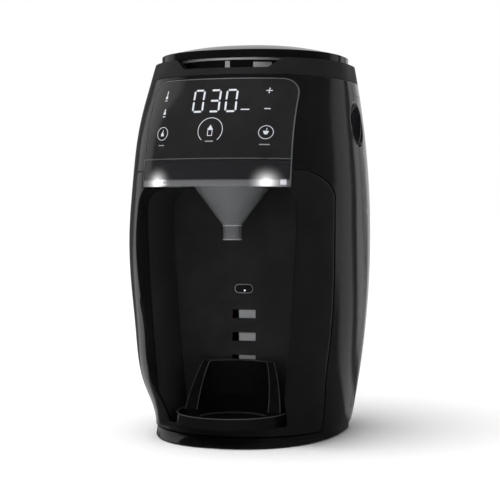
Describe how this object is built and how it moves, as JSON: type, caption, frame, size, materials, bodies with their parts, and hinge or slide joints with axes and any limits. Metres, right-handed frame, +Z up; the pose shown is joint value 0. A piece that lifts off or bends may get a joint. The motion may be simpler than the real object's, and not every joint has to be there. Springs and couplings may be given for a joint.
{
  "type": "baby formula maker",
  "caption": "Barrel-shaped counter appliance that mixes warm water and formula powder, with a bottle bay, touch panel, funnel drawer, hinged lid and rear water tank.",
  "frame": {"origin": "middle of the footprint box, on the table", "axes": "+Z up, -Y is the front with the bottle bay, +X to the right seen from the front"},
  "size_m": [0.212, 0.2389, 0.3542],
  "materials": {
    "shell_black": "gloss",
    "collar_dark": "satin",
    "panel_glass": "gloss",
    "trim_grey": "gloss",
    "smoked_clear": "gloss",
    "funnel_clear": "gloss",
    "tank_smoked": "gloss",
    "inner_black": "satin",
    "bay_black": "satin",
    "keeper_grey": "satin",
    "lamp_white": "frosted",
    "rubber_black": "matte",
    "silicone": "matte",
    "steel": "brushed",
    "wheel_white": "satin",
    "board_green": "satin",
    "motor_metal": "satin",
    "display_dark": "gloss"
  },
  "bodies": {
    "housing": {"body_shell": "shell_black", "inner_chassis": "inner_black", "front_frame": "shell_black", "base_pan": "shell_black", "plinth": "shell_black", "top_collar": "collar_dark", "tank_dock": "inner_black", "panel_glass": "panel_glass", "panel_trim": "trim_grey", "drawer_rails": "inner_black", "bay_liner": "bay_black", "slot_keepers": "keeper_grey", "pump_hose": "silicone", "nozzle_hose": "silicone", "inlet_hose": "silicone", "water_nozzle": "inner_black", "powder_container": "shell_black", "gear_motor": "motor_metal", "pump": "motor_metal", "heater": "motor_metal", "control_board": "board_green", "display_module": "display_dark", "power_board": "board_green", "power_inlet": "inner_black", "lid_hinge_pin": "steel", "sensor_window": "panel_glass", "sensor_board": "board_green", "rubber_feet": "rubber_black", "base_screws": "steel", "bay_lamps": "lamp_white", "board_posts": "inner_black", "control_posts": "inner_black"},
    "lid": {"lid": "shell_black", "lid_seal": "silicone"},
    "funnel_drawer": {"drawer_front": "smoked_clear", "drawer_carrier": "smoked_clear", "funnel": "funnel_clear"},
    "tray": {"bottle_tray": "shell_black"},
    "tank": {"water_tank": "tank_smoked", "tank_cover": "shell_black", "tank_spigot": "tank_smoked"},
    "metering": {"metering_wheel": "wheel_white", "stirrer": "wheel_white", "drive_shaft": "steel", "drive_dog": "inner_black"}
  },
  "joints": [
    {"name": "lid_hinge", "type": "hinge", "parent": "housing", "child": "lid", "pos_m": [0, 0.1065, 0.3436], "axis": [-1, 0, 0], "range_deg": [0, 100]},
    {"name": "drawer_slide", "type": "slide", "parent": "housing", "child": "funnel_drawer", "axis": [0, -1, 0], "range_m": [0, 0.075]},
    {"name": "tray_slide", "type": "slide", "parent": "housing", "child": "tray", "axis": [0, 0, 1], "range_m": [0, 0.0416]},
    {"name": "tank_slide", "type": "slide", "parent": "housing", "child": "tank", "axis": [0, 1, 0], "range_m": [0, 0.09]},
    {"name": "wheel_spin", "type": "hinge", "parent": "housing", "child": "metering", "pos_m": [0, 0.014, 0.254], "axis": [0, 0, 1], "continuous": true}
  ]
}
